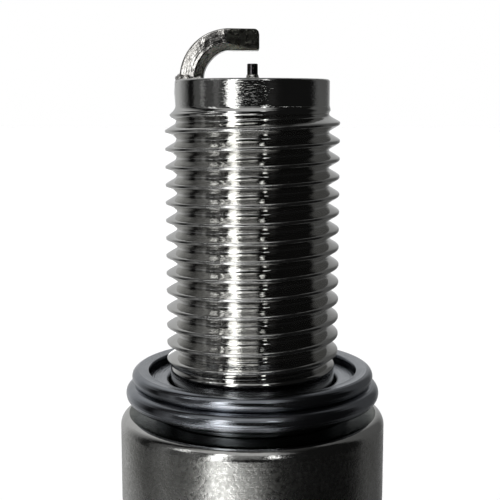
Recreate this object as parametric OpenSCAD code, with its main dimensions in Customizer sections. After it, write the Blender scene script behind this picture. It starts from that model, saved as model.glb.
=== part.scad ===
// Resistor spark plug, M10 x 1 thread with a 19 mm reach and a 16 mm hexagon.
// The axis is Z. The firing end points up, and z = 0 is the plane of the gasket seat.

/* [Thread] */
// Outside diameter of the mounting thread
thread_d = 9.88; // [9.80:0.01:9.97]
// Pitch of the mounting thread
thread_pitch = 1.0; // [1.0:0.05:1.0]
// Root radius of the mounting thread
thread_root_r = 4.34; // [4.3:0.01:4.4]
// Length from the gasket seat to the end of the shell
reach = 19; // [19:0.1:19.4]
// Radius of the plain pilot at the firing end
pilot_r = 4.33; // [4.25:0.01:4.4]

/* [Shell] */
// Width across the flats of the hexagon
hex_af = 16; // [15.8:0.05:16]
// Radius of the barrel under the gasket seat
barrel_r = 7.63; // [7.5:0.01:7.8]
// Edge radius between the seat face and the barrel
shoulder_r = 0.68; // [0.4:0.02:0.7]
// Radius of the neck that carries the gasket
neck_r = 4.72; // [4.68:0.01:4.76]
// Bore radius at the firing end
gas_bore_r = 3.1; // [3.0:0.05:3.2]
// Bore radius around the insulator's head
head_bore_r = 5.75; // [5.7:0.01:5.8]

/* [Electrodes] */
// Radius of the precious-metal tip
tip_r = 0.3; // [0.2:0.02:0.34]
// Spark gap
gap = 0.7; // [0.65:0.05:0.9]
// Width of the ground electrode
ground_w = 2.2; // [2.0:0.1:2.4]
// Thickness of the ground electrode
ground_t = 1.18; // [1.1:0.02:1.2]
// Outside bend radius of the ground electrode
ground_bend_r = 2.74; // [2.7:0.02:2.84]

/* [Terminal] */
// Distance from the gasket seat to the end of the terminal nut
terminal_h = 50.5; // [50.3:0.1:51]
// Outside radius of the terminal nut
nut_r = 3.175; // [3.1:0.005:3.2]
// Outside diameter of the terminal stud's thread
stud_d = 3.94; // [3.9:0.01:3.96]
// Pitch of the terminal stud's thread
stud_pitch = 0.7; // [0.7:0.05:0.7]

/* [Gasket] */
// Outside radius of the folded washer
gasket_r = 7.3; // [7.2:0.02:7.34]
// Hole radius of the folded washer
gasket_hole_r = 4.85; // [4.83:0.01:4.87]
// Thickness of the folded sheet
gasket_t = 0.26; // [0.24:0.01:0.26]

/* [Hidden] */
$fn = 96;
eps = 0.01;

// Shell, outside, from the firing end down to the terminal side
thread_bottom = 2.59;
thread_turns = 14.75;
thread_sides = 40;
neck_top = 2.7;
pilot_bottom = 17.8;
pilot_edge_r = 0.3;
barrel_bottom = -5.2;
groove_r = 6.75;
groove_top = -5.75;
groove_bottom = -7.1;
hex_top = -7.5;
hex_bottom = -15.3;
crimp_r = 6.9;
crimp_straight = -16.0;
crimp_end = -17.45;
crimp_inner_r = 5.05;

// Shell, inside: a ledge carries the insulator, and two steps open towards the terminal
ledge_r = 2.75;
ledge_top = 7.4;
ledge_bottom = 5.6;
stem_bore_r = 3.55;
stem_bore_end = -3.0;
head_bore_start = -4.4;
seat_slope = 0.625;
crimp_inner_start = -16.5;
crimp_inner_end = -16.93;

// Insulator
nose_z = 18.2;
nose_bore_r = 1.15;
nose_edge_r = 0.2;
nose_tip_r = 1.95;
nose_root_r = 2.4;
nose_root_z = 8.2;
ledge_fit_r = 2.6;
stem_r = 3.4;
head_r = 5.6;
head_top = -4.7;
head_bottom = -12.6;
glaze_r = 4.75;
glaze_start = -13.5;
insulator_end = -40.5;
insulator_end_r = 3.9;
core_bore_r = 1.95;
core_bore_top = 3.2;
electrode_seat_slope = 0.875;
rib_count = 5;
rib_first_z = -20.6;
rib_spacing = 2.5;
rib_depth = 0.42;
rib_groove_r = 0.75;

// Packing between the insulator and the shell
packing_t = 0.3;
wire_r = 0.46;
wire_track_r = (head_bore_r + glaze_r) / 2;
rear_ring_z = -16.42;

// Conductors inside the insulator
sheath_r = 1.1;
sheath_shoulder_z = 18.35;
sheath_end_r = 0.5;
sheath_end_z = sheath_shoulder_z + sheath_r - sheath_end_r;
tip_socket_z = 18.8;
tip_h = ground_bend_r - ground_t + reach - gap;
weld_top = 19.26;
core_r = 0.6;
core_top = 16.5;
sheath_head_r = 1.8;
sheath_head_z = 1.7;
front_seal_top = 2.9;
front_seal_end = 0.2;
resistor_end = -8.6;
rear_seal_end = -11.4;

// Terminal stud and nut
stud_shaft_r = 1.75;
stud_tip_z = -9.9;
knurl_rings = 5;
knurl_spacing = 0.3;
collar_r = 2.6;
collar_end = insulator_end - 0.5;
stud_end = -49.9;
stud_root_r = 1.55;
stud_chamfer = 0.35;
stud_turns = 11;
stud_sides = 28;
nut_gap = 0.05;
nut_bore_r = stud_d / 2 + nut_gap;
nut_top = collar_end - nut_gap;
nut_neck_r = 2.62;
nut_neck_top = -44.6;
nut_neck_bottom = -46.1;
nut_chamfer = 0.35;
nut_end_chamfer = 0.6;

// Gasket: upper bead, lower bead, flat fold towards the neck, and a foot on the seat
upper_bead_r = 0.42;
lower_bead_r = 0.53;
fold_z = 1.71;
upper_bead_c = [6.95 - upper_bead_r, fold_z + upper_bead_r];
lower_bead_c = [gasket_r - lower_bead_r, fold_z - lower_bead_r];
upper_lip_r = 5.95;
foot_r = 5.45;
foot_bottom = 0.02;

// Ground electrode: the bend's centre is level with the end of the shell
bend_x = -1.29;
ground_end_x = 0.38;
taper_length = 1.88;
taper_end_w = 1.3;
ground_edge_r = 0.3;
weld_skirt = 0.42;
weld_h = 0.35;
weld_edge_r = 4.7;
weld_edge_x = 0.5;

// Points along a circular arc, as [r, z]
function arc(c, r, a0, a1, n = 8) =
    [for (i = [0:n]) c + r * [cos(a0 + (a1 - a0) * i / n), sin(a0 + (a1 - a0) * i / n)]];

// Height of the shell's seat cone for the insulator, at a radius
function seat_z(r) = ledge_bottom - seat_slope * (r - ledge_r);

// Height of the insulator's inner step, where the center electrode's head rests, at a radius
function electrode_seat_z(r) = core_bore_top + electrode_seat_slope * (core_bore_r - r);

// Height at which a packing wire touches the insulator's rear cone
function front_ring_z() =
    let (run = head_r - glaze_r, drop = head_bottom - glaze_start, side = norm([run, drop]))
    head_bottom - (wire_r * side + (head_r - wire_track_r) * drop) / run;

// How far a thread's ridge has risen, from 0 to 1, after some turns from its start
function ridge(turn, turns, lead_in, lead_out) =
    min(1, turn / lead_in, (turns - turn) / lead_out);

// A closed rod with a right-hand thread, between two planes
module threaded_rod(crest_r, root_r, pitch, start_z, turns, bottom, top, sides, lead_in, lead_out) {
    slope = [-0.42, -0.1, 0.1, 0.42];
    steps = round(turns * sides);
    first_top = steps - sides;
    along = [for (n = [0:steps], i = [0:3])
        let (
            high = (i == 1 || i == 2) ? ridge(n / sides, steps / sides, lead_in, lead_out) : 0,
            r = root_r + (crest_r - root_r) * high,
            a = 360 * n / sides
        )
        [r * cos(a), r * sin(a), start_z + pitch * (n / sides + slope[i])]];
    floor_ring = [for (j = [0:sides - 1])
        let (a = 360 * j / sides)
        [root_r * cos(a), root_r * sin(a), bottom]];
    roof_ring = [for (j = [0:sides - 1])
        let (a = 360 * (first_top + j) / sides)
        [root_r * cos(a), root_r * sin(a), top]];
    floor_at = 4 * (steps + 1);
    roof_at = floor_at + sides;
    flanks = [for (n = [0:steps - 1], i = [0:2])
        each [[4 * n + i, 4 * n + i + 1, 4 * n + 5 + i], [4 * n + i, 4 * n + 5 + i, 4 * n + 4 + i]]];
    roots = [for (n = [0:first_top - 1])
        let (above = 4 * (n + sides))
        each [[4 * n + 3, above, above + 4], [4 * n + 3, above + 4, 4 * n + 7]]];
    floor_wall = [for (j = [0:sides - 2])
        each [[floor_at + j, 4 * j, 4 * j + 4], [floor_at + j, 4 * j + 4, floor_at + j + 1]]];
    floor_seam = [[floor_at + sides - 1, 4 * (sides - 1), 4 * sides, 3, 2, 1, 0, floor_at]];
    roof_wall = [for (j = [1:sides - 1])
        let (n = first_top + j, after = (j + 1) % sides)
        each [[4 * n + 3, roof_at + j, roof_at + after], [4 * n + 3, roof_at + after, 4 * n + 7]]];
    roof_seam = [[roof_at + 1, 4 * first_top + 7, 4 * first_top + 3,
        4 * steps, 4 * steps + 1, 4 * steps + 2, 4 * steps + 3, roof_at]];
    polyhedron(
        points = concat(along, floor_ring, roof_ring),
        faces = concat(
            flanks, roots, floor_wall, floor_seam, roof_wall, roof_seam,
            [[for (j = [0:sides - 1]) floor_at + j]],
            [[for (j = [sides - 1:-1:0]) roof_at + j]]
        ),
        convexity = 10
    );
}

module shell_outside() {
    rotate_extrude()
        polygon(concat(
            [[0, reach], [pilot_r - pilot_edge_r, reach]],
            arc([pilot_r - pilot_edge_r, reach - pilot_edge_r], pilot_edge_r, 80, 0, 6),
            [[pilot_r, pilot_bottom], [0, pilot_bottom]]
        ));
    rotate_extrude()
        polygon(concat(
            [[0, neck_top], [neck_r, neck_top], [neck_r, 0], [barrel_r - shoulder_r, 0]],
            arc([barrel_r - shoulder_r, -shoulder_r], shoulder_r, 80, 0),
            [[barrel_r, barrel_bottom], [groove_r + 0.15, groove_top]],
            arc([groove_r - 0.4, (groove_top + groove_bottom) / 2], 0.74, 55, -55),
            [[groove_r + 0.3, hex_top], [crimp_r, hex_top], [crimp_r, crimp_straight]],
            [for (i = [1:8]) [
                crimp_inner_r + (crimp_r - crimp_inner_r) * cos(90 * i / 8),
                crimp_straight - (crimp_straight - crimp_end) * sin(90 * i / 8)
            ]],
            [[0, crimp_end]]
        ));
    intersection() {
        translate([0, 0, hex_bottom])
            rotate([0, 0, 30])
                linear_extrude(hex_top - hex_bottom)
                    circle(r = hex_af / sqrt(3), $fn = 6);
        rotate_extrude()
            polygon([
                [0, hex_top], [hex_af / 2 - 0.15, hex_top], [hex_af / sqrt(3) + 0.1, hex_top - 0.8],
                [hex_af / sqrt(3) + 0.1, hex_bottom + 0.8], [hex_af / 2 - 0.15, hex_bottom], [0, hex_bottom]
            ]);
    }
}

module shell_inside() {
    rotate_extrude()
        polygon([
            [0, reach + 1], [gas_bore_r, reach + 1], [gas_bore_r, ledge_top + 0.6], [ledge_r, ledge_top],
            [ledge_r, ledge_bottom], [stem_bore_r, seat_z(stem_bore_r)], [stem_bore_r, stem_bore_end],
            [head_bore_r, head_bore_start], [head_bore_r, crimp_inner_start],
            [head_bore_r - 0.25, crimp_inner_end], [crimp_inner_r, crimp_inner_end],
            [crimp_inner_r, crimp_end - 1], [0, crimp_end - 1]
        ]);
}

module shell() {
    color("silver")
        difference() {
            union() {
                shell_outside();
                threaded_rod(thread_d / 2, thread_root_r, thread_pitch, thread_bottom, thread_turns,
                    thread_bottom - thread_pitch, pilot_bottom, thread_sides, 0.5, 0.9);
            }
            shell_inside();
        }
}

// Cross-section of the ground electrode's bar, between two radii from the bend's axis
module bar_section() {
    inner = ground_bend_r - ground_t;
    half = ground_w / 2;
    e = ground_edge_r;
    translate([inner + e, -half]) square([ground_t - 2 * e, ground_w]);
    translate([inner, -half + e]) square([ground_t, ground_w - 2 * e]);
    for (x = [inner + e, ground_bend_r - e], y = [-half + e, half - e])
        translate([x, y]) circle(r = e, $fn = 32);
}

module ground_electrode() {
    color("gray")
        intersection() {
            union() {
                translate([bend_x, 0, reach])
                    rotate([90, 0, 180])
                        rotate_extrude(angle = 90) bar_section();
                translate([bend_x, 0, reach])
                    rotate([0, -90, 180])
                        linear_extrude(ground_end_x - bend_x) bar_section();
            }
            translate([0, 0, reach - 1])
                linear_extrude(ground_bend_r + 2)
                    polygon([
                        [-6, -2], [ground_end_x - taper_length, -2],
                        [ground_end_x - taper_length, -ground_w / 2 - eps],
                        [ground_end_x, -taper_end_w / 2], [ground_end_x, taper_end_w / 2],
                        [ground_end_x - taper_length, ground_w / 2 + eps],
                        [ground_end_x - taper_length, 2], [-6, 2]
                    ]);
        }
}

// Flash squeezed out where the ground electrode is welded to the end of the shell
module ground_weld() {
    x_out = bend_x - ground_bend_r;
    color("lightgray")
        difference() {
            for (step = [0:2])
                translate([0, 0, reach])
                    linear_extrude(weld_h * (step + 1) / 3)
                        intersection() {
                            grow = weld_skirt * (1 - step / 3);
                            translate([x_out - grow * 0.35, -ground_w / 2 - grow])
                                square([ground_t + grow * 0.7, ground_w + 2 * grow]);
                            difference() {
                                translate([weld_edge_x, 0]) circle(r = weld_edge_r);
                                circle(r = gas_bore_r - 0.15);
                            }
                        }
            translate([bend_x, 0, reach])
                rotate([90, 0, 180])
                    rotate_extrude(angle = 90) bar_section();
        }
}

module center_electrode() {
    color("dimgray")
        rotate_extrude()
            difference() {
                polygon([
                    [0, sheath_head_z], [sheath_head_r, sheath_head_z],
                    [sheath_head_r, electrode_seat_z(sheath_head_r)],
                    [nose_bore_r, electrode_seat_z(nose_bore_r)], [sheath_r, electrode_seat_z(nose_bore_r)],
                    [sheath_r, sheath_shoulder_z], [sheath_end_r, sheath_end_z],
                    [tip_r, sheath_end_z], [tip_r, tip_socket_z], [0, tip_socket_z]
                ]);
                polygon([
                    [-1, 0], [core_r, 0], [core_r, core_top], [0, core_top + core_r], [-1, core_top + core_r]
                ]);
            }
}

module electrode_core() {
    color("peru")
        rotate_extrude()
            polygon([
                [0, sheath_head_z], [core_r, sheath_head_z], [core_r, core_top], [0, core_top + core_r]
            ]);
}

// Laser weld that joins the tip to the nickel sheath
module tip_weld() {
    color("gray")
        rotate_extrude()
            polygon([[tip_r, sheath_end_z], [sheath_end_r, sheath_end_z],
                [sheath_end_r - 0.12, sheath_end_z + 0.14], [tip_r + 0.02, weld_top], [tip_r, weld_top]]);
}

module iridium_tip() {
    color("darkslategray")
        rotate_extrude()
            polygon(concat(
                [[0, tip_socket_z], [tip_r, tip_socket_z]],
                arc([tip_r - 0.05, tip_h - 0.05], 0.05, 0, 90, 4),
                [[0, tip_h]]
            ));
}

module insulator_outside() {
    difference() {
        rotate_extrude()
            polygon(concat(
                [[0, nose_z], [nose_tip_r - nose_edge_r, nose_z]],
                arc([nose_tip_r - nose_edge_r, nose_z - nose_edge_r], nose_edge_r, 80, 0, 5),
                [
                    [nose_root_r, nose_root_z], [ledge_fit_r, ledge_top],
                    [ledge_fit_r, seat_z(ledge_fit_r) - packing_t], [stem_r, seat_z(stem_r) - packing_t],
                    [stem_r, stem_bore_end - 0.15], [head_r, head_top], [head_r, head_bottom],
                    [glaze_r, glaze_start], [glaze_r, insulator_end + 0.85]
                ],
                arc([insulator_end_r, insulator_end + 0.85], 0.85, -10, -90),
                [[0, insulator_end]]
            ));
        for (i = [0:rib_count - 1])
            translate([0, 0, rib_first_z - i * rib_spacing])
                rotate_extrude()
                    translate([glaze_r + rib_groove_r - rib_depth, 0]) circle(r = rib_groove_r, $fn = 48);
    }
}

module insulator() {
    color("white")
        difference() {
            insulator_outside();
            rotate_extrude()
                polygon([
                    [0, nose_z + 1], [nose_bore_r, nose_z + 1], [nose_bore_r, electrode_seat_z(nose_bore_r)],
                    [core_bore_r, core_bore_top], [core_bore_r, insulator_end - 1], [0, insulator_end - 1]
                ]);
        }
}

module seat_packing() {
    inner = ledge_r + 0.05;
    outer = stem_r;
    color("darkgray")
        rotate_extrude()
            polygon([
                [inner, seat_z(inner)], [outer, seat_z(outer)],
                [outer, seat_z(outer) - packing_t], [inner, seat_z(inner) - packing_t]
            ]);
}

module packing_ring(z) {
    color("darkgray")
        translate([0, 0, z])
            rotate_extrude()
                translate([wire_track_r, 0]) circle(r = wire_r, $fn = 48);
}

module front_packing_ring() { packing_ring(front_ring_z()); }

module rear_packing_ring() { packing_ring(rear_ring_z); }

// Sealing powder, pressed solid between the two wire rings
module talc_ring() {
    color("beige")
        rotate_extrude()
            translate([glaze_r, rear_ring_z + wire_r])
                square([head_bore_r - glaze_r, front_ring_z() - rear_ring_z - 2 * wire_r]);
}

module front_glass_seal() {
    color("darkolivegreen")
        difference() {
            translate([0, 0, front_seal_end])
                cylinder(r = core_bore_r, h = front_seal_top - front_seal_end);
            translate([0, 0, sheath_head_z]) cylinder(r = sheath_head_r, h = 2);
        }
}

module resistor() {
    color("saddlebrown")
        translate([0, 0, resistor_end])
            cylinder(r = core_bore_r, h = front_seal_end - resistor_end);
}

module stud_shaft() {
    rotate_extrude()
        polygon(concat(
            [[0, stud_tip_z], [stud_shaft_r - 0.3, stud_tip_z], [stud_shaft_r, stud_tip_z - 0.3]],
            [for (i = [0:knurl_rings - 1], side = [0:1])
                [stud_shaft_r - 0.15 * side, stud_tip_z - 0.3 - knurl_spacing * (i + side / 2 + 0.25)]],
            [
                [stud_shaft_r, stud_tip_z - 0.4 - knurl_spacing * knurl_rings],
                [stud_shaft_r, insulator_end], [collar_r, insulator_end], [collar_r, collar_end],
                [0, collar_end]
            ]
        ));
}

module rear_glass_seal() {
    color("darkolivegreen")
        difference() {
            translate([0, 0, rear_seal_end]) cylinder(r = core_bore_r, h = resistor_end - rear_seal_end);
            stud_shaft();
        }
}

module terminal_stud() {
    color("lightgray")
        union() {
            stud_shaft();
            threaded_rod(stud_d / 2, stud_root_r, stud_pitch, stud_end + stud_chamfer, stud_turns,
                stud_end, collar_end + 0.2, stud_sides, 0.75, 0.5);
        }
}

module terminal_nut() {
    end = -terminal_h;
    color("gainsboro")
        difference() {
            rotate_extrude()
                polygon([
                    [0, nut_top], [nut_r - nut_chamfer, nut_top], [nut_r, nut_top - nut_chamfer],
                    [nut_r, nut_neck_top + 0.5], [nut_neck_r, nut_neck_top], [nut_neck_r, nut_neck_bottom],
                    [nut_r, nut_neck_bottom - 0.5], [nut_r, end + nut_end_chamfer],
                    [nut_r - nut_end_chamfer, end], [0, end]
                ]);
            translate([0, 0, end - 1]) cylinder(r = nut_bore_r, h = nut_top - end + 2);
        }
}

// One fold of the washer's sheet: half of a ring in the section's plane, open towards the axis
module bead(c, r) {
    translate(c)
        difference() {
            circle(r = r, $fn = 48);
            circle(r = r - gasket_t, $fn = 48);
            translate([-2 * r, -2 * r]) square([2 * r, 4 * r]);
        }
}

module gasket_section() {
    fold_c = [gasket_hole_r + gasket_t, fold_z];
    bead(upper_bead_c, upper_bead_r);
    bead(lower_bead_c, lower_bead_r);
    translate([upper_lip_r, upper_bead_c[1] + upper_bead_r - gasket_t])
        square([upper_bead_c[0] - upper_lip_r, gasket_t]);
    translate([fold_c[0], fold_z]) square([upper_bead_c[0] - fold_c[0], gasket_t]);
    translate([fold_c[0], fold_z - gasket_t]) square([lower_bead_c[0] - fold_c[0], gasket_t]);
    difference() {
        translate(fold_c) circle(r = gasket_t, $fn = 48);
        translate([fold_c[0], fold_z - 1]) square([1, 2]);
    }
    translate([foot_r, lower_bead_c[1] - lower_bead_r])
        square([lower_bead_c[0] - foot_r, gasket_t]);
    translate([foot_r, foot_bottom])
        square([gasket_t, lower_bead_c[1] - lower_bead_r + gasket_t / 2 - foot_bottom]);
}

module gasket() {
    color("slategray")
        rotate_extrude() gasket_section();
}

shell();
ground_electrode();
ground_weld();
center_electrode();
electrode_core();
tip_weld();
iridium_tip();
insulator();
seat_packing();
front_packing_ring();
talc_ring();
rear_packing_ring();
front_glass_seal();
resistor();
rear_glass_seal();
terminal_stud();
terminal_nut();
gasket();
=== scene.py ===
"""Looks of a spark plug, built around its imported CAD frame.

Sizes are in millimetres in the plug's own frame: +Z runs along the axis to the firing end, z = 0 is the
gasket seat, and the ground electrode stands on the -X side. MM turns them into Blender's metres.
"""

import math

import bpy
import numpy as np
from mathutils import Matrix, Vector, noise


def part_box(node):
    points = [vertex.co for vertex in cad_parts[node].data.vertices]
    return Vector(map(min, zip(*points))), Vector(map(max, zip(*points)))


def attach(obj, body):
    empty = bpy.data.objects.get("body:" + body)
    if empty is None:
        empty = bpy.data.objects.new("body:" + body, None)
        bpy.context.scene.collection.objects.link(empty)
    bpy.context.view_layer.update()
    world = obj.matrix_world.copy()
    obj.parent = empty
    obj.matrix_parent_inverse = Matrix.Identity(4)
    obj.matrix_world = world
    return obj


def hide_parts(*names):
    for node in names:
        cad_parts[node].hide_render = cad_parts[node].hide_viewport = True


MM = 0.001
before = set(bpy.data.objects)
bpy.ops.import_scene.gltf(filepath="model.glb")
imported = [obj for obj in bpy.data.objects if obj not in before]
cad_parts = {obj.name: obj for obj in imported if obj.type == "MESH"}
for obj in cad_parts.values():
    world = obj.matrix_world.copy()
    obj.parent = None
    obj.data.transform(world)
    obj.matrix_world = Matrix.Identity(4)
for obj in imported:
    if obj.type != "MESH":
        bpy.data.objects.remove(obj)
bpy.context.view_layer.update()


def low_high(node, axis):
    """Lowest and highest coordinate of a CAD node along an axis, in millimetres."""
    low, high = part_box(node)
    return low[axis] / MM, high[axis] / MM


# ---------------------------------------------------------------- sizes
X, Y, Z = 0, 1, 2
COLUMNS = 240

REACH = low_high("shell", Z)[1]
CRIMP_END = low_high("shell", Z)[0]
HEX_R = low_high("shell", X)[1]
TERMINAL_END = low_high("terminal_nut", Z)[0]
TIP_TOP = low_high("iridium_tip", Z)[1]
BAR_TOP = low_high("ground_electrode", Z)[1]
BAR_LEFT, BAR_END = low_high("ground_electrode", X)
BAR_HALF_WIDTH = low_high("ground_electrode", Y)[1]
NOSE_TOP = low_high("insulator", Z)[1]
INSULATOR_END = low_high("insulator", Z)[0]
GASKET_R = low_high("gasket", X)[1]
STUD_END = low_high("terminal_stud", Z)[0]
NUT_TOP = low_high("terminal_nut", Z)[1]
NUT_R = low_high("terminal_nut", X)[1]

# Shell
CREST_R = 4.94
ROOT_R = 4.34
PITCH = 1.0
NECK_R = 4.72
PILOT_R = 4.33
PILOT_EDGE = 0.3
THREAD_START = 1.59
THREAD_TURNS = 16.5
THREAD_END = 16.0
PILOT_END = 17.27
BARREL_R = 7.63
SHOULDER = 0.68
GROOVE_R = 6.75
BARREL_END = -5.2
HEX_TOP = -7.5
HEX_END = -15.3
CRIMP_R = 6.9
CRIMP_START = -16.0
CRIMP_INNER_R = 5.05
GAS_BORE_R = 3.1
LEDGE_R = 2.75
STEM_BORE_R = 3.55
HEAD_BORE_R = 5.75

# Ground electrode
BAR_T = 1.18
BAR_BEND_R = BAR_TOP - REACH
BEND_X = BAR_LEFT + BAR_BEND_R
TAPER_LENGTH = 1.88
TAPER_END_W = 1.3

# Conductors and insulator
TIP_R = 0.3
PIN_FOOT = 18.8
SHEATH_R = 1.1
SHEATH_SHOULDER_Z = 18.35
SHEATH_END_R = 0.5
WELD_TOP = 19.26
GLAZE_R = 4.75
CORE_BORE_R = 1.95
STUD_R = 1.97
COLLAR_R = 2.6
COLLAR_T = 0.5
NUT_BORE_R = 2.02


# ---------------------------------------------------------------- mesh tools
def wobble(x, y, z, scale, seed=0.0):
    """Smooth noise of about -1 to 1, the same on every run. scale is the size of a lump in millimetres."""
    return noise.noise(Vector((x / scale + seed, y / scale - seed, z / scale + 0.5 * seed)))


def outline(corners, closed=True, step=math.radians(15)):
    """Points of an outline in (r, z). Each corner is (r, z) or (r, z, fillet radius)."""
    points = []
    count = len(corners)
    for i, corner in enumerate(corners):
        here = np.array(corner[:2], float)
        fillet = corner[2] if len(corner) > 2 else 0.0
        if fillet <= 0 or (not closed and i in (0, count - 1)):
            points.append(here)
            continue
        before = np.array(corners[i - 1][:2], float) - here
        after = np.array(corners[(i + 1) % count][:2], float) - here
        reach = 0.49 * min(np.linalg.norm(before), np.linalg.norm(after))
        before /= np.linalg.norm(before)
        after /= np.linalg.norm(after)
        half = math.acos(np.clip(before @ after, -1, 1)) / 2
        cut = min(fillet / math.tan(half), reach)
        radius = cut * math.tan(half)
        middle = (before + after) / np.linalg.norm(before + after)
        centre = here + middle * radius / math.sin(half)
        start = here + before * cut - centre
        end = here + after * cut - centre
        turn = math.atan2(start[0] * end[1] - start[1] * end[0], start @ end)
        pieces = max(2, math.ceil(abs(turn) / step))
        for k in range(pieces + 1):
            angle = turn * k / pieces
            c, s = math.cos(angle), math.sin(angle)
            points.append(centre + np.array([c * start[0] - s * start[1], s * start[0] + c * start[1]]))
    return [(float(p[0]), float(p[1])) for p in points]


def arc(centre, radius, start, end, pieces):
    """Points along an arc in (r, z); the angles are in degrees."""
    angles = [math.radians(start + (end - start) * k / pieces) for k in range(pieces + 1)]
    return [(centre[0] + radius * math.cos(a), centre[1] + radius * math.sin(a)) for a in angles]


def make_piece(name, verts, faces, material, body, nodes, sharp=35):
    """A mesh object from millimetre vertices that stands for CAD nodes, smooth but for its sharp edges."""
    mesh = bpy.data.meshes.new(name)
    mesh.from_pydata([tuple(c * MM for c in v) for v in verts], [], faces)
    mesh.validate()
    mesh.shade_smooth()
    mesh.set_sharp_from_angle(angle=math.radians(sharp))
    piece = bpy.data.objects.new(name, mesh)
    bpy.context.scene.collection.objects.link(piece)
    mesh.materials.append(material)
    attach(piece, body)
    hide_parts(*nodes)
    return piece


class Skin:
    """Vertices and faces of a surface of revolution, built ring by ring."""

    def __init__(self, columns=COLUMNS):
        self.columns = columns
        self.angles = [2 * math.pi * j / columns for j in range(columns)]
        self.verts = []
        self.faces = []

    def add(self, r, angle, z):
        """A new vertex; returns its index."""
        self.verts.append((r * math.cos(angle), r * math.sin(angle), z))
        return len(self.verts) - 1

    def ring(self, radius, height):
        """A ring of vertices; radius and height are numbers or functions of the angle."""
        r_at = radius if callable(radius) else lambda a: radius
        z_at = height if callable(height) else lambda a: height
        return [self.add(r_at(a), a, z_at(a)) for a in self.angles]

    def join(self, lower, upper):
        """A band of faces between two rings."""
        for j in range(self.columns):
            k = (j + 1) % self.columns
            self.faces.append((lower[j], lower[k], upper[k], upper[j]))

    def rings(self, points, before=None, shape=None):
        """Rings through (r, z) points; returns the first and the last ring.

        shape(r, angle, z) may change a radius.
        """
        first = None
        for r, z in points:
            radius = (lambda a, r=r, z=z: shape(r, a, z)) if shape else r
            ring = self.ring(radius, z)
            if before is not None:
                self.join(before, ring)
            first = first or ring
            before = ring
        return first, before


def lathe(name, points, material, body, nodes, columns=COLUMNS, sharp=35, shape=None):
    """A closed turned piece: the outline runs round the section, so that its last ring meets its first.

    An outline that starts and ends on the axis is closed by two poles instead.
    """
    skin = Skin(columns)
    solid = points[0][0] < 1e-6 and points[-1][0] < 1e-6
    if not solid:
        first, last = skin.rings(points, shape=shape)
        skin.join(last, first)
        return make_piece(name, skin.verts, skin.faces, material, body, nodes, sharp)
    first, last = skin.rings(points[1:-1], shape=shape)
    for ring, z, flip in ((first, points[0][1], True), (last, points[-1][1], False)):
        pole = skin.add(0.0, 0.0, z)
        for j in range(columns):
            k = (j + 1) % columns
            skin.faces.append((pole, ring[k], ring[j]) if flip else (pole, ring[j], ring[k]))
    return make_piece(name, skin.verts, skin.faces, material, body, nodes, sharp)


def helix(skin, floor, roof_z, roof_r, start_z, pitch, turns, offsets, radius):
    """A right-hand thread between a ring of vertices and a new ring at roof_z, which it returns.

    offsets are heights over one pitch, from -0.5 to 0.5, in pitches. radius(offset, turn, z, angle) gives
    the surface, and has to be constant over the first and last turn, where the thread meets the plain ends.
    """
    n_side = skin.columns
    steps = round(turns * n_side)
    rows = len(offsets) - 1
    grid = []
    for n in range(steps + 1):
        turn = n / n_side
        angle = 2 * math.pi * turn
        grid.append([])
        for s in offsets[:-1]:
            z = start_z + pitch * (turn + s)
            grid[n].append(skin.add(radius(s, turn, z, angle), angle, z))
    for n in range(steps + 1):
        if n + n_side <= steps:
            grid[n].append(grid[n + n_side][0])
            continue
        turn = n / n_side
        z = start_z + pitch * (turn + offsets[-1])
        grid[n].append(skin.add(radius(offsets[-1], turn, z, 2 * math.pi * turn), 2 * math.pi * turn, z))
    for n in range(steps):
        for i in range(rows):
            skin.faces.append((grid[n][i], grid[n + 1][i], grid[n + 1][i + 1], grid[n][i + 1]))
    for j in range(n_side - 1):
        skin.faces.append((floor[j], floor[j + 1], grid[j + 1][0], grid[j][0]))
    corner = grid[n_side - 1][0]
    seam = [floor[n_side - 1], floor[0]] + grid[0]
    skin.faces += [(corner, seam[k], seam[k + 1]) for k in range(len(seam) - 1)]
    top = steps - n_side
    roof = [None] * n_side
    for j in range(n_side):
        roof[(top + j) % n_side] = skin.add(roof_r, 2 * math.pi * (top + j) / n_side, roof_z)
    for j in range(1, n_side):
        n = top + j
        skin.faces.append((grid[n][rows], grid[n + 1][rows], roof[(n + 1) % n_side], roof[n % n_side]))
    corner = grid[top + 1][rows]
    seam = [roof[(top + 1) % n_side], roof[top % n_side]] + grid[steps][::-1]
    skin.faces += [(corner, seam[k], seam[k + 1]) for k in range(len(seam) - 1)]
    return roof


def smooth_step(x):
    """0 below 0, 1 above 1 and an even S between."""
    x = min(1.0, max(0.0, x))
    return x * x * (3 - 2 * x)


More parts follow.
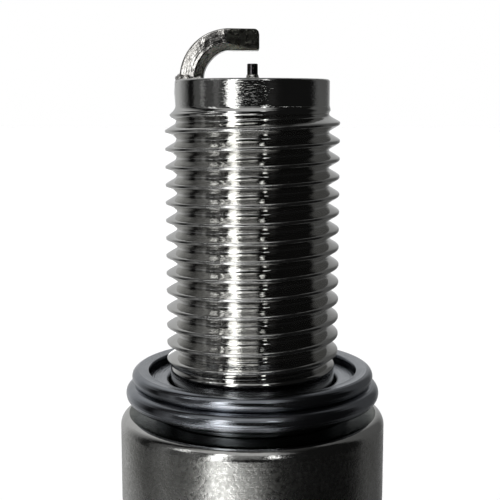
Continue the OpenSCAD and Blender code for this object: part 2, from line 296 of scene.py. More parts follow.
# ---------------------------------------------------------------- materials
class Nodes:
    """A material's node tree, with short calls for the nodes that the finishes share."""

    def __init__(self, name):
        self.material = bpy.data.materials.new(name)
        self.material.use_nodes = True
        self.tree = self.material.node_tree
        self.shader = self.tree.nodes["Principled BSDF"]
        self.place = self.tree.nodes.new("ShaderNodeTexCoord").outputs["Object"]

    def link(self, output, socket):
        self.tree.links.new(output, socket)

    def stretched(self, scale):
        """Object coordinates in millimetres, scaled along each axis."""
        mapping = self.tree.nodes.new("ShaderNodeMapping")
        mapping.inputs["Scale"].default_value = [s / MM for s in scale]
        self.link(self.place, mapping.inputs["Vector"])
        return mapping.outputs["Vector"]

    def noise(self, scale, detail=3.0, roughness=0.55, stretch=(1, 1, 1)):
        """Noise of 0 to 1. scale is in lumps a millimetre."""
        node = self.tree.nodes.new("ShaderNodeTexNoise")
        node.inputs["Scale"].default_value = scale
        node.inputs["Detail"].default_value = detail
        node.inputs["Roughness"].default_value = roughness
        self.link(self.stretched(stretch), node.inputs["Vector"])
        return node.outputs["Fac"]

    def ramp(self, value, stops):
        """A colour ramp. Each stop is (position, grey level or colour)."""
        node = self.tree.nodes.new("ShaderNodeValToRGB")
        ramp = node.color_ramp
        while len(ramp.elements) < len(stops):
            ramp.elements.new(0.5)
        for element, (position, colour) in zip(ramp.elements, stops):
            element.position = position
            rgb = (colour,) * 3 if isinstance(colour, (int, float)) else colour
            element.color = (*rgb, 1.0)
        self.link(value, node.inputs["Fac"])
        return node.outputs["Color"]

    def math(self, operation, a, b=None, c=None):
        node = self.tree.nodes.new("ShaderNodeMath")
        node.operation = operation
        for socket, value in zip(node.inputs, (a, b, c)):
            if value is None:
                continue
            if isinstance(value, (int, float)):
                socket.default_value = value
            else:
                self.link(value, socket)
        return node.outputs[0]

    def mix(self, factor, a, b):
        """The colour a where the factor is 0, and b where it is 1."""
        node = self.tree.nodes.new("ShaderNodeMix")
        node.data_type = "RGBA"
        self.link(factor, node.inputs["Factor"])
        self.link(a, node.inputs[6])
        self.link(b, node.inputs[7])
        return node.outputs[2]

    def millimetres(self):
        """The three coordinates in millimetres."""
        split = self.tree.nodes.new("ShaderNodeSeparateXYZ")
        self.link(self.place, split.inputs[0])
        return [self.math("DIVIDE", output, MM) for output in split.outputs]

    def height(self):
        """Height above the seat in millimetres."""
        return self.millimetres()[Z]

    def hypotenuse(self, a, b):
        return self.math("SQRT", self.math("MULTIPLY_ADD", a, a, self.math("MULTIPLY", b, b)))

    def radius(self):
        """Distance from the axis in millimetres."""
        x, y, _ = self.millimetres()
        return self.hypotenuse(x, y)

    def turning_lines(self, along, scale, strength):
        """Fine tool marks that vary only with one length, such as the radius or the height."""
        node = self.tree.nodes.new("ShaderNodeTexNoise")
        node.noise_dimensions = "1D"
        node.inputs["Scale"].default_value = scale
        node.inputs["Detail"].default_value = 4.0
        self.link(along, node.inputs["W"])
        return self.math("MULTIPLY", node.outputs["Fac"], strength)

    def bump(self, heights_mm):
        """Bump from a height in millimetres."""
        node = self.tree.nodes.new("ShaderNodeBump")
        node.inputs["Strength"].default_value = 1.0
        node.inputs["Distance"].default_value = MM
        self.link(heights_mm, node.inputs["Height"])
        self.link(node.outputs["Normal"], self.shader.inputs["Normal"])

    def set(self, **values):
        for name, value in values.items():
            self.shader.inputs[name.replace("_", " ")].default_value = value

    def colour(self, output):
        self.link(output, self.shader.inputs["Base Color"])

    def roughness(self, output):
        self.link(output, self.shader.inputs["Roughness"])


def shell_metal():
    """Bright nickel plate: mirror-like on thread and pilot, blasted on barrel and hexagon.

    The thread's crests are worn rougher. The flat seat under the gasket is turned, and its colour is painted
    dark as shade under the gasket.
    """
    m = Nodes("shell_nickel_plate")
    m.set(Metallic=1.0)
    z = m.height()
    radius = m.radius()

    # Where each finish lies, as 0 or 1
    rear = m.ramp(m.math("MULTIPLY_ADD", z, 0.5, 0.5), [(0.10, 1.0), (0.46, 0.0)])
    seat = m.math("MULTIPLY", m.math("GREATER_THAN", z, -0.03), m.math("GREATER_THAN", radius, 5.2))
    pilot = m.math("GREATER_THAN", z, 17.5)
    crest = m.math("MULTIPLY", m.math("GREATER_THAN", radius, 4.88), m.math("LESS_THAN", radius, 5.2))

    blotch = m.noise(0.55, 4.0, 0.6)
    speckle = m.noise(5.5, 4.0, 0.7)
    bright = m.ramp(blotch, [(0.3, (0.60, 0.595, 0.57)), (0.7, (0.68, 0.675, 0.655))])
    satin = m.ramp(m.math("MULTIPLY_ADD", speckle, 0.6, m.math("MULTIPLY", blotch, 0.4)),
                   [(0.36, (0.38, 0.375, 0.35)), (0.64, (0.60, 0.595, 0.57))])
    # painted shade: the flat seat under the gasket is coloured near black where the gasket shades it
    seat_shade = m.ramp(m.noise(1.2, 3.0), [(0.35, (0.065, 0.075, 0.065)), (0.65, (0.13, 0.14, 0.12))])
    m.colour(m.mix(seat, m.mix(rear, bright, satin), seat_shade))
    glossy = m.ramp(blotch, [(0.3, 0.04), (0.7, 0.07)])
    worn = m.ramp(m.noise(6.0, 2.0), [(0.35, 0.12), (0.65, 0.26)])
    frosted = m.ramp(m.noise(5.0, 4.0, 0.7), [(0.36, 0.20), (0.64, 0.37)])
    frosted = m.math("MULTIPLY_ADD", m.math("LESS_THAN", z, HEX_TOP), 0.12, frosted)
    turned = m.ramp(blotch, [(0.3, 0.20), (0.7, 0.28)])
    m.roughness(m.mix(seat, m.mix(rear, m.mix(crest, glossy, worn), frosted), turned))
    lines = m.turning_lines(m.math("ADD", m.math("MULTIPLY", radius, 0.7), z), 13.0, 0.006)
    depth = m.math("MULTIPLY_ADD", pilot, 0.010, 0.004)
    streaks = m.math("MULTIPLY", m.noise(1.0, 2.0, 0.6, (3.0, 3.0, 16.0)), depth)
    pits = m.math("MULTIPLY", m.math("MULTIPLY", m.noise(5.0, 3.0, 0.6), rear), 0.013)
    m.bump(m.math("ADD", m.math("ADD", lines, streaks), pits))
    return m.material


def bar_metal():
    """Drawn nickel alloy, glossy and slightly wrinkled by the bend, with its tapered end cut and darker.

    The drawing left fine lines that follow the bend, and the inside of the bend is painted darker as shade.
    """
    m = Nodes("bar_nickel_alloy")
    m.set(Metallic=1.0)
    x, _, z = m.millimetres()
    level = m.math("DIVIDE", m.math("SUBTRACT", z, BAR_TOP - BAR_T / 2), BAR_T / 2)
    taper_start = m.math("MULTIPLY_ADD", m.math("MULTIPLY", level, level), 0.28, BAR_END - TAPER_LENGTH)
    tapered = m.ramp(m.math("SUBTRACT", x, taper_start), [(0.0, 0.0), (0.08, 1.0)])
    left_of_bend = m.math("MINIMUM", 0.0, m.math("SUBTRACT", x, BEND_X))
    from_bend = m.hypotenuse(left_of_bend, m.math("SUBTRACT", z, REACH))
    # painted shade: the inside of the bend and the underside of the leg are coloured darker where shade
    # falls
    outside = m.ramp(m.math("SUBTRACT", from_bend, BAR_BEND_R - BAR_T), [(0.33, 0.0), (0.42, 1.0)])
    bright = m.ramp(m.noise(1.8, 4.0, 0.6), [(0.3, (0.40, 0.385, 0.36)), (0.7, (0.66, 0.64, 0.61))])
    bend_inside_shade = m.ramp(m.noise(3.0, 3.0, 0.6), [(0.3, (0.10, 0.10, 0.09)), (0.7, (0.24, 0.235, 0.22))])
    drawn_and_shaded = m.mix(outside, bend_inside_shade, bright)
    cut = m.ramp(m.noise(4.0, 3.0, 0.6), [(0.3, (0.17, 0.17, 0.14)), (0.7, (0.30, 0.30, 0.26))])
    m.colour(m.mix(tapered, drawn_and_shaded, cut))
    polished = m.ramp(m.noise(2.5, 3.0), [(0.35, 0.12), (0.65, 0.28)])
    sheared = m.ramp(m.noise(5.0, 3.0), [(0.35, 0.22), (0.65, 0.34)])
    m.roughness(m.mix(tapered, polished, sheared))
    lines = m.turning_lines(from_bend, 4.0, 0.024)
    wrinkles = m.math("MULTIPLY", m.noise(1.5, 3.0, 0.5), 0.095)
    m.bump(m.math("ADD", wrinkles, lines))
    return m.material


def weld_metal():
    """Nickel that has run and set: shiny, with darker oxide in its hollows."""
    m = Nodes("weld_nickel")
    m.set(Metallic=1.0)
    m.colour(m.ramp(m.noise(3.5, 4.0), [(0.35, (0.34, 0.32, 0.29)), (0.6, (0.70, 0.68, 0.65))]))
    m.roughness(m.ramp(m.noise(5.0, 3.0), [(0.3, 0.07), (0.7, 0.18)]))
    m.bump(m.math("MULTIPLY", m.noise(4.0, 3.0, 0.6), 0.085))
    return m.material


def sheath_metal():
    """Turned nickel alloy of the centre electrode, matt near the weld."""
    m = Nodes("sheath_nickel_alloy")
    m.set(Metallic=1.0)
    m.colour(m.ramp(m.noise(3.0, 3.0), [(0.3, (0.33, 0.32, 0.30)), (0.7, (0.50, 0.49, 0.46))]))
    m.roughness(m.ramp(m.noise(6.0, 3.0), [(0.3, 0.16), (0.7, 0.30)]))
    m.bump(m.turning_lines(m.math("ADD", m.radius(), m.height()), 22.0, 0.006))
    return m.material


def iridium_metal():
    """Ground iridium alloy: dark and glossy."""
    m = Nodes("iridium_alloy")
    m.set(Metallic=1.0)
    m.colour(m.ramp(m.noise(5.0, 3.0), [(0.3, (0.085, 0.080, 0.085)), (0.7, (0.15, 0.14, 0.145))]))
    m.roughness(m.ramp(m.noise(8.0, 3.0), [(0.3, 0.12), (0.7, 0.22)]))
    m.bump(m.turning_lines(m.height(), 26.0, 0.004))
    return m.material


def gasket_metal():
    """Folded steel strip: dark blue-grey satin with fine drawn lines round it."""
    m = Nodes("gasket_steel")
    m.set(Metallic=1.0)
    blotch = m.noise(0.6, 3.0, 0.5)
    m.colour(m.ramp(blotch, [(0.3, (0.28, 0.295, 0.32)), (0.7, (0.36, 0.375, 0.40))]))
    m.roughness(m.ramp(m.noise(0.8, 2.0, 0.5), [(0.3, 0.14), (0.7, 0.20)]))
    across = m.math("ADD", m.radius(), m.math("MULTIPLY", m.height(), 1.3))
    m.bump(m.turning_lines(across, 8.0, 0.022))
    return m.material


def alumina():
    """White glazed alumina, with a faint warm mottle under a clear glaze."""
    m = Nodes("glazed_alumina")
    m.colour(m.ramp(m.noise(0.5, 4.0), [(0.3, (0.83, 0.825, 0.80)), (0.7, (0.88, 0.88, 0.865))]))
    m.roughness(m.ramp(m.noise(1.5, 3.0), [(0.3, 0.30), (0.7, 0.42)]))
    m.set(Subsurface_Weight=0.15, Subsurface_Scale=0.0006, Coat_Weight=0.8, Coat_Roughness=0.06)
    m.bump(m.math("MULTIPLY", m.noise(0.9, 2.0), 0.010))
    return m.material


def terminal_metal():
    """Turned and plated terminal: satin, with tool marks round it."""
    m = Nodes("terminal_plate")
    m.set(Metallic=1.0)
    blotch = m.noise(0.9, 4.0)
    m.colour(m.ramp(blotch, [(0.3, (0.58, 0.575, 0.56)), (0.7, (0.70, 0.695, 0.68))]))
    m.roughness(m.ramp(m.noise(2.0, 4.0), [(0.3, 0.17), (0.7, 0.30)]))
    lines = m.turning_lines(m.math("ADD", m.math("MULTIPLY", m.radius(), 0.6), m.height()), 9.0, 0.010)
    m.bump(m.math("ADD", lines, m.math("MULTIPLY", m.noise(5.0, 2.0), 0.003)))
    return m.material


def inner_finish(name, dark, light, metallic, rough, grain):
    """Finish of a piece that is sealed inside: a two-tone mottle with a fine grain."""
    m = Nodes(name)
    m.set(Metallic=metallic)
    m.colour(m.ramp(m.noise(1.5, 4.0), [(0.3, dark), (0.7, light)]))
    m.roughness(m.ramp(m.noise(3.0, 3.0), [(0.3, rough), (0.7, rough + 0.15)]))
    m.bump(m.math("MULTIPLY", m.noise(grain, 3.0), 0.015))
    return m.material


# ---------------------------------------------------------------- pieces
def thread_radius(s, turn, z, angle):
    """Surface of the rolled thread: a seam along the crest, 60 degree flanks, rounded crests and roots.

    The ridge rises out of the neck, and fades into the blank just under the pilot.
    """
    a = abs(s) * PITCH
    flank = (CREST_R + ROOT_R) / 2 - (a - PITCH / 4) / math.tan(math.radians(30))
    above_root = flank - ROOT_R + 0.02
    r = ROOT_R - 0.02 + 0.5 * (above_root + math.sqrt(above_root * above_root + 0.004))
    below_crest = CREST_R - r
    r = CREST_R - 0.5 * (below_crest + math.sqrt(below_crest * below_crest + 0.006))
    seam = max(0.0, 1 - a / 0.03)
    ragged = 0.75 + 0.5 * wobble(5 * math.cos(angle), 5 * math.sin(angle), z, 0.5, 3.0)
    r -= 0.012 * seam * ragged
    r = min(r, CREST_R - 0.004 * (1 + wobble(5 * math.cos(angle), 5 * math.sin(angle), z, 0.9, 7.0)))
    risen = smooth_step((turn + s + 0.5 - 1.45) / 0.6)
    r = NECK_R + (r - NECK_R) * risen
    blank = PILOT_R - 0.035 * smooth_step((PILOT_END - z) / 0.05)
    return blank + (r - blank) * smooth_step(THREAD_END - turn - s)


def thread_offsets():
    """Heights over one pitch at which the thread is sampled, closest together at the crest."""
    half = [0.015, 0.035, 0.055, 0.075, 0.10, 0.14, 0.19, 0.25, 0.31, 0.36, 0.40, 0.43, 0.46, 0.5]
    return [-s for s in reversed(half)] + [0.0] + half


def hex_side(angle):
    """Radius of the hexagon at an angle; its flats face +X and -X."""
    from_flat = (angle + math.pi / 6) % (math.pi / 3) - math.pi / 6
    return HEX_R / math.cos(from_flat)


def hex_rings(skin, before):
    """The hexagon from its rear to its front face, its corners turned off by a cone at each end."""
    face_r = HEX_R - 0.15
    slope = 0.8 / (HEX_R / math.cos(math.pi / 6) + 0.1 - face_r)
    edge = 0.07
    _, last = skin.rings([(face_r - 0.1, HEX_END), (face_r, HEX_END + 0.03)], before)
    for end, side in ((HEX_END, 1), (HEX_TOP, -1)):
        rows = [
            (lambda a: hex_side(a) - edge * 0.9,
             lambda a: end + side * (hex_side(a) - edge - face_r) * slope),
            (lambda a: hex_side(a) - edge * 0.2,
             lambda a: end + side * ((hex_side(a) - face_r) * slope + 0.02)),
            (hex_side,
             lambda a: end + side * ((hex_side(a) - face_r) * slope + edge)),
        ]
        for radius, height in rows[::side]:
            ring = skin.ring(radius, height)
            skin.join(last, ring)
            last = ring
    _, last = skin.rings([(face_r, HEX_TOP - 0.03), (face_r - 0.1, HEX_TOP)], last)
    return last


def pilot_shape(r, angle, z):
    """The pilot swells a little under the weld of the ground electrode."""
    turn = (angle - math.pi) / math.radians(24)
    level = (z - 18.3) / 0.5
    return r + 0.05 * math.exp(-turn * turn - level * level) if r > GAS_BORE_R + 0.5 else r


def build_shell(material):
    """The shell in one skin: crimped lip, hexagon, groove, barrel, seat, thread, pilot and stepped bore."""
    skin = Skin()
    crimp = [
        (CRIMP_INNER_R + (CRIMP_R - CRIMP_INNER_R) * math.sin(math.radians(a)),
         CRIMP_START - (CRIMP_START - CRIMP_END) * math.cos(math.radians(a)))
        for a in range(12, 91, 6)
    ]
    rear = outline([(CRIMP_INNER_R, -16.93), (CRIMP_INNER_R, CRIMP_END + 0.06, 0.05)] + crimp
                   + [(CRIMP_R, HEX_END, 0.08), (HEX_R - 0.35, HEX_END)], closed=False)
    first, last = skin.rings(rear)
    last = hex_rings(skin, last)
    middle = (BARREL_END + HEX_TOP) / 2 - 0.08
    waist = [(GROOVE_R + 0.02, HEX_TOP + 0.35, 0.2)] + arc((GROOVE_R - 0.4, middle), 0.74, -55, 55, 14)
    front = outline(
        [(HEX_R - 0.35, HEX_TOP), (GROOVE_R + 0.15, HEX_TOP, 0.1)] + waist
        + [(GROOVE_R + 0.02, BARREL_END - 0.55, 0.1), (BARREL_R - 0.25, BARREL_END - 0.35, 0.15),
           (BARREL_R, BARREL_END + 0.1, 0.3), (BARREL_R, -2.6), (BARREL_R, 0.0, SHOULDER),
           (NECK_R + 0.04, 0.0), (NECK_R, 0.06), (NECK_R, 1.0)],
        closed=False, step=math.radians(8))
    _, last = skin.rings(front, last)
    roof_z = REACH - PILOT_EDGE - 0.02
    roof = helix(skin, last, roof_z, PILOT_R, THREAD_START, PITCH, THREAD_TURNS,
                 thread_offsets(), thread_radius)
    inside = outline(
        [(PILOT_R, roof_z + 0.01), (PILOT_R, REACH, PILOT_EDGE), (GAS_BORE_R, REACH, 0.12),
         (GAS_BORE_R, 8.0), (LEDGE_R, 7.4), (LEDGE_R, 5.6), (STEM_BORE_R, 5.1), (STEM_BORE_R, -3.0),
         (HEAD_BORE_R, -4.4), (HEAD_BORE_R, -16.5), (HEAD_BORE_R - 0.25, -16.93)],
        closed=False, step=math.radians(8))
    _, last = skin.rings(inside, roof)
    skin.join(last, first)
    piece = make_piece("shell_body", skin.verts, skin.faces, material, "plug", ["shell"], 40)
    for vertex in piece.data.vertices:
        x, y, z = vertex.co / MM
        r = math.hypot(x, y)
        if z > PILOT_END:
            swollen = pilot_shape(r, math.atan2(y, x) % (2 * math.pi), z)
            vertex.co = Vector((x * swollen / r, y * swollen / r, z)) * MM
    return piece


def bar_section():
    """Section of the ground electrode: (out, side) points, out from the bend's centre, side along Y.

    Its outer corners are tight, and its inner ones are bevelled and rounded.
    """
    half_t, half_w = BAR_T / 2, BAR_HALF_WIDTH
    bevel = 0.43
    right = [(half_t, half_w - 0.01, 0.10), (bevel - half_t, half_w, 0.12), (-half_t, half_w - bevel, 0.20)]
    left = [(u, -v, fillet) for u, v, fillet in reversed(right)]
    rounded = outline(right + left, closed=True, step=math.radians(9))
    loop = []
    for i, (u, v) in enumerate(rounded):
        u2, v2 = rounded[(i + 1) % len(rounded)]
        pieces = max(1, round(math.hypot(u2 - u, v2 - v) / 0.07))
        loop += [(u + (u2 - u) * k / pieces, v + (v2 - v) * k / pieces) for k in range(pieces)]
    return loop


def rounding(from_end, radius):
    """How far a rounded end has drawn in, at a distance from the end."""
    inside = max(0.0, radius - from_end)
    return radius - math.sqrt(max(0.0, radius * radius - inside * inside))


def taper(from_end, out):
    """Half the width of the bar's tapered end, at a distance from the end; its edges are eased."""
    end = TAPER_END_W / 2
    cut = end + (BAR_HALF_WIDTH - 0.01 - end) * from_end / TAPER_LENGTH
    return cut - max(0.0, abs(out) - BAR_T / 2 + 0.09) * 0.8


def build_bar(material):
    """The ground electrode: a bar swept round the bend, cut to a taper on both sides, with a rounded end.

    Bending draws in the outer side of the section, so the sides of the leg lean. Welding has upset its foot,
    which is a little thicker.
    """
    section = bar_section()
    half_t = BAR_T / 2
    middle_r = BAR_BEND_R - half_t
    bend_steps, straight_steps = 44, 40
    stations = [("bend", math.pi - math.pi / 2 * k / bend_steps) for k in range(bend_steps + 1)]
    stations += [("straight", BEND_X + (BAR_END - BEND_X) * k / straight_steps)
                 for k in range(1, straight_steps + 1)]
    end_top, end_low, end_side = 0.30, 0.12, 0.09
    drawn_in = 0.17
    upset = 0.12
    verts, faces = [], []
    for kind, value in stations:
        turned = math.degrees(value) if kind == "bend" else 90
        lean = drawn_in * (0.55 * smooth_step((turned - 92) / 15) + 0.45 * smooth_step((turned - 126) / 26))
        thicker = upset * smooth_step((turned - 92) / 55)
        for out, side in section:
            sign = math.copysign(1.0, side)
            out -= thicker * (half_t - out) / BAR_T
            width = abs(side) * (1 - lean * max(0.0, (out + 0.2) / (half_t + 0.2)) / BAR_HALF_WIDTH)
            if kind == "bend":
                x = BEND_X + (middle_r + out) * math.cos(value)
                z = REACH + (middle_r + out) * math.sin(value)
            else:
                x, z = value, REACH + middle_r + out
            from_end = BAR_END - x
            if from_end < TAPER_LENGTH:
                width = min(width, taper(from_end, out))
            if kind == "straight":
                top, low = rounding(from_end, end_top), rounding(from_end, end_low)
                share = (out + half_t) / BAR_T
                z = REACH + middle_r - half_t + low + share * (BAR_T - top - low)
                width *= 1 - rounding(from_end, end_side) / (TAPER_END_W / 2)
            if from_end > TAPER_LENGTH - 0.3:
                rough = smooth_step((from_end - TAPER_LENGTH + 0.3) / 0.3)
                lump = 0.018 * wobble(x, side, z, 0.50, 2.0) + 0.008 * wobble(x, side, z, 0.22, 5.0)
                width -= max(0.0, lump + 0.004) * rough
            verts.append((x, sign * width, z))
    count = len(section)
    for s in range(len(stations) - 1):
        for i in range(count):
            k = (i + 1) % count
            faces.append((s * count + i, s * count + k, (s + 1) * count + k, (s + 1) * count + i))
    faces.append(tuple(reversed(range(count))))
    faces.append(tuple(range((len(stations) - 1) * count, len(stations) * count)))
    return make_piece("ground_bar", verts, faces, material, "plug", ["ground_electrode"], 32)


def build_weld(material):
    """Flash round the foot of the ground electrode: a lumpy bead, thickest over the shell's edge."""
    around, across = 144, 20
    foot_x = BEND_X - BAR_BEND_R + BAR_T / 2
    verts, faces = [], []
    for i in range(around):
        a = 2 * math.pi * i / around
        box = max(abs(math.cos(a)) / (BAR_T / 2), abs(math.sin(a)) / (BAR_HALF_WIDTH - 0.08))
        cx, cy = foot_x + 0.96 / box * math.cos(a), 0.96 / box * math.sin(a)
        outward = smooth_step(0.5 - 0.9 * math.cos(a))
        lump = wobble(2 * math.cos(a), 2 * math.sin(a), 0, 0.42, 4.0)
        bead = (0.12 + 0.16 * outward) * (1 + 0.35 * lump)
        for k in range(across):
            b = 2 * math.pi * k / across
            swell = bead * (1 + 0.35 * wobble(3 * cx, 3 * cy, 2 * b, 0.9, 9.0))
            x = cx + swell * math.cos(b) * math.cos(a)
            y = cy + swell * math.cos(b) * math.sin(a)
            z = REACH + 0.03 + swell * 1.15 * math.sin(b) - 0.10 * outward
            verts.append((x, y, z))
    for i in range(around):
        for k in range(across):
            i2, k2 = (i + 1) % around, (k + 1) % across
            faces.append((i * across + k, i2 * across + k, i2 * across + k2, i * across + k2))
    return make_piece("ground_weld_bead", verts, faces, material, "plug", ["ground_weld"],
                      60)


def build_center(sheath, iridium, weld):
    """The centre electrode, its fine tip, and the laser weld between them, whose outside is rippled."""
    sheath_end = SHEATH_SHOULDER_Z + SHEATH_R - SHEATH_END_R

    def rippled(r, angle, z):
        if r <= TIP_R + 0.01:
            return r
        return r + 0.012 * wobble(3 * math.cos(angle), 3 * math.sin(angle), z, 0.5)

    lathe("center_sheath",
          outline([(0.6, 1.7), (1.8, 1.7, 0.1), (1.8, 3.33), (1.15, 3.9), (SHEATH_R, 3.9),
                   (SHEATH_R, SHEATH_SHOULDER_Z, 0.15), (SHEATH_END_R, sheath_end, 0.05),
                   (TIP_R, sheath_end), (TIP_R, PIN_FOOT), (0.05, PIN_FOOT), (0.05, 17.1), (0.6, 16.5)]),
          sheath, "plug", ["center_electrode"], 96)
    lathe("tip_weld_ring",
          outline([(TIP_R, sheath_end), (SHEATH_END_R, sheath_end),
                   (SHEATH_END_R - 0.13, sheath_end + 0.13, 0.2),
                   (TIP_R + 0.02, WELD_TOP, 0.01), (TIP_R, WELD_TOP)]),
          weld, "plug", ["tip_weld"], 96, shape=rippled)
    lathe("iridium_pin",
          outline([(0, PIN_FOOT), (TIP_R, PIN_FOOT), (TIP_R, TIP_TOP - 0.16),
                   (TIP_R - 0.008, TIP_TOP - 0.13), (TIP_R, TIP_TOP - 0.10), (TIP_R, TIP_TOP, 0.06),
                   (0, TIP_TOP)], closed=False),
          iridium, "plug", ["iridium_tip"], 96)


def build_insulator(material):
    """Nose, stem, head and ribbed neck, bored through for the conductors."""
    first_rib_z, rib_pitch, rib_count = -20.6, 2.5, 5
    ribs = []
    for i in range(rib_count):
        z = first_rib_z - rib_pitch * i
        ribs += [(GLAZE_R, z + 0.72, 0.22)]
        ribs += arc((GLAZE_R + 0.33, z), 0.75, 118, 242, 10)
        ribs += [(GLAZE_R, z - 0.72, 0.22)]
    section = [
        (1.15, NOSE_TOP, 0.08), (1.95, NOSE_TOP, 0.25), (2.4, 8.2, 0.5), (2.6, 7.4, 0.3), (2.6, 5.39),
        (3.4, 4.89), (3.4, -3.15), (5.6, -4.7, 0.3), (5.6, -12.6), (GLAZE_R, -13.5)
    ] + ribs + [
        (GLAZE_R, INSULATOR_END, 0.85), (CORE_BORE_R, INSULATOR_END, 0.15), (CORE_BORE_R, 3.2), (1.15, 3.9)
    ]
    lathe("insulator_body", outline(section, step=math.radians(10)), material, "plug", ["insulator"],
          160)


def build_stud(material):
    """Stud with a knurled end in the glass, a collar on the insulator and an M4 thread."""
    skin = Skin(96)
    collar_end = INSULATOR_END - COLLAR_T
    pitch, crest, root = 0.7, STUD_R, 1.55
    start_z, turns = STUD_END + 0.35 - 0.3, 12.0

    def radius(s, turn, z, angle):
        """The thread's surface, which fades into the shank at both ends."""
        a = abs(s) * pitch
        r = max(root, min(crest, crest - (a - 0.06) / math.tan(math.radians(30))))
        rise = smooth_step((turn + s + 0.5 - 1.0) / 0.6) * smooth_step((turns - 0.6 - turn - s) / 0.6)
        return root + (r - root) * rise

    offsets = [-0.5, -0.42, -0.35, -0.25, -0.16, -0.085, 0.0, 0.085, 0.16, 0.25, 0.35, 0.42, 0.5]
    floor_z = start_z - 0.5 * pitch - 0.05
    end = outline([(0.3, floor_z), (root, floor_z, 0.12), (root, floor_z + 0.02)], closed=False)
    first, last = skin.rings(end)
    roof = helix(skin, last, collar_end - 0.1, root, start_z, pitch, turns, offsets, radius)
    shank, head_z = 1.75, -9.9
    knurl = []
    for i in range(6):
        knurl += [(shank, -11.6 + 0.3 * i), (shank - 0.15, -11.45 + 0.3 * i)]
    body = outline([(root, collar_end, 0.03), (COLLAR_R, collar_end, 0.12), (COLLAR_R, INSULATOR_END, 0.05),
                    (shank, INSULATOR_END)] + knurl
                   + [(shank, head_z - 0.2), (shank - 0.3, head_z), (0.3, head_z)], closed=False)
    _, last = skin.rings(body, roof)
    low_pole, high_pole = skin.add(0, 0, floor_z), skin.add(0, 0, head_z)
    for j in range(skin.columns):
        k = (j + 1) % skin.columns
        skin.faces += [(low_pole, first[k], first[j]), (high_pole, last[j], last[k])]
    make_piece("stud_body", skin.verts, skin.faces, material, "plug", ["terminal_stud"],
               40)


def build_nut(material):
    """The terminal nut, with the groove that the cap's spring clip snaps into."""
    groove_r = 2.62
    section = [
        (NUT_BORE_R, NUT_TOP, 0.1), (NUT_R, NUT_TOP, 0.32), (NUT_R, -44.1, 0.12), (groove_r, -44.6, 0.15),
        (groove_r, -46.1, 0.15), (NUT_R, -46.6, 0.12), (NUT_R, TERMINAL_END, 0.6),
        (NUT_BORE_R, TERMINAL_END, 0.2)
    ]
    lathe("nut_body", outline(section, step=math.radians(9)), material, "terminal_nut", ["terminal_nut"],
          160)


def gasket_outline():
    """Outline of the folded strip's section, walked once round its surface."""
    t = 0.26
    fold_z = 1.71
    upper_r, lower_r = 0.42, 0.53
    upper = (6.95 - upper_r, fold_z + upper_r)
    lower = (GASKET_R - lower_r, fold_z - lower_r)
    inner = 4.85
    points = []
    points += arc(upper, upper_r, 90, -68, 16)
    points += arc(lower, lower_r, 62, -90, 18)
    points += outline([lower, (5.62, lower[1] - lower_r, 0.25), (5.62, 0.02, 0.05), (5.32, 0.02, 0.05),
                       (5.32, lower[1] - lower_r + t, 0.35), (lower[0], lower[1] - lower_r + t)],
                      closed=False)[1:]
    points += arc(lower, lower_r - t, -90, 90, 12)[1:]
    points += outline([lower, (inner, fold_z - t, 0.24), (inner, fold_z + t, 0.24), upper],
                      closed=False)[1:-1]
    points += arc(upper, upper_r - t, -90, 90, 10)
    points += outline([upper, (6.0, upper[1] + upper_r - t - 0.03, 0.11),
                       (5.97, upper[1] + upper_r, 0.13), upper],
                      closed=False)[1:-1]
    return points


def build_gasket(material):
    """The folded washer, which is a little uneven from folding."""
    lathe("gasket_ring", gasket_outline(), material, "gasket", ["gasket"], 240, 50,
          shape=lambda r, a, z: r + 0.004 * wobble(7 * math.cos(a), 7 * math.sin(a), z, 2.5, 6.0))


def dress_inner_nodes():
    """The pieces sealed inside keep their CAD shapes and get a finish each."""
    steel = inner_finish("packing_steel", (0.30, 0.30, 0.30), (0.48, 0.47, 0.46), 1.0, 0.30, 6.0)
    glass = inner_finish("seal_glass", (0.10, 0.12, 0.10), (0.24, 0.27, 0.23), 0.3, 0.30, 8.0)
    copper = inner_finish("core_copper", (0.66, 0.30, 0.18), (0.78, 0.43, 0.30), 1.0, 0.28, 5.0)
    talc = inner_finish("pressed_talc", (0.66, 0.63, 0.56), (0.82, 0.80, 0.74), 0.0, 0.75, 9.0)
    carbon = inner_finish("resistor_carbon", (0.08, 0.07, 0.06), (0.17, 0.15, 0.13), 0.0, 0.55, 9.0)
    finishes = {
        "electrode_core": copper,
        "seat_packing": steel,
        "front_packing_ring": steel,
        "rear_packing_ring": steel,
        "talc_ring": talc,
        "front_glass_seal": glass,
        "rear_glass_seal": glass,
        "resistor": carbon,
    }
    for node, material in finishes.items():
        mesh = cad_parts[node].data
        mesh.materials.clear()
        mesh.materials.append(material)


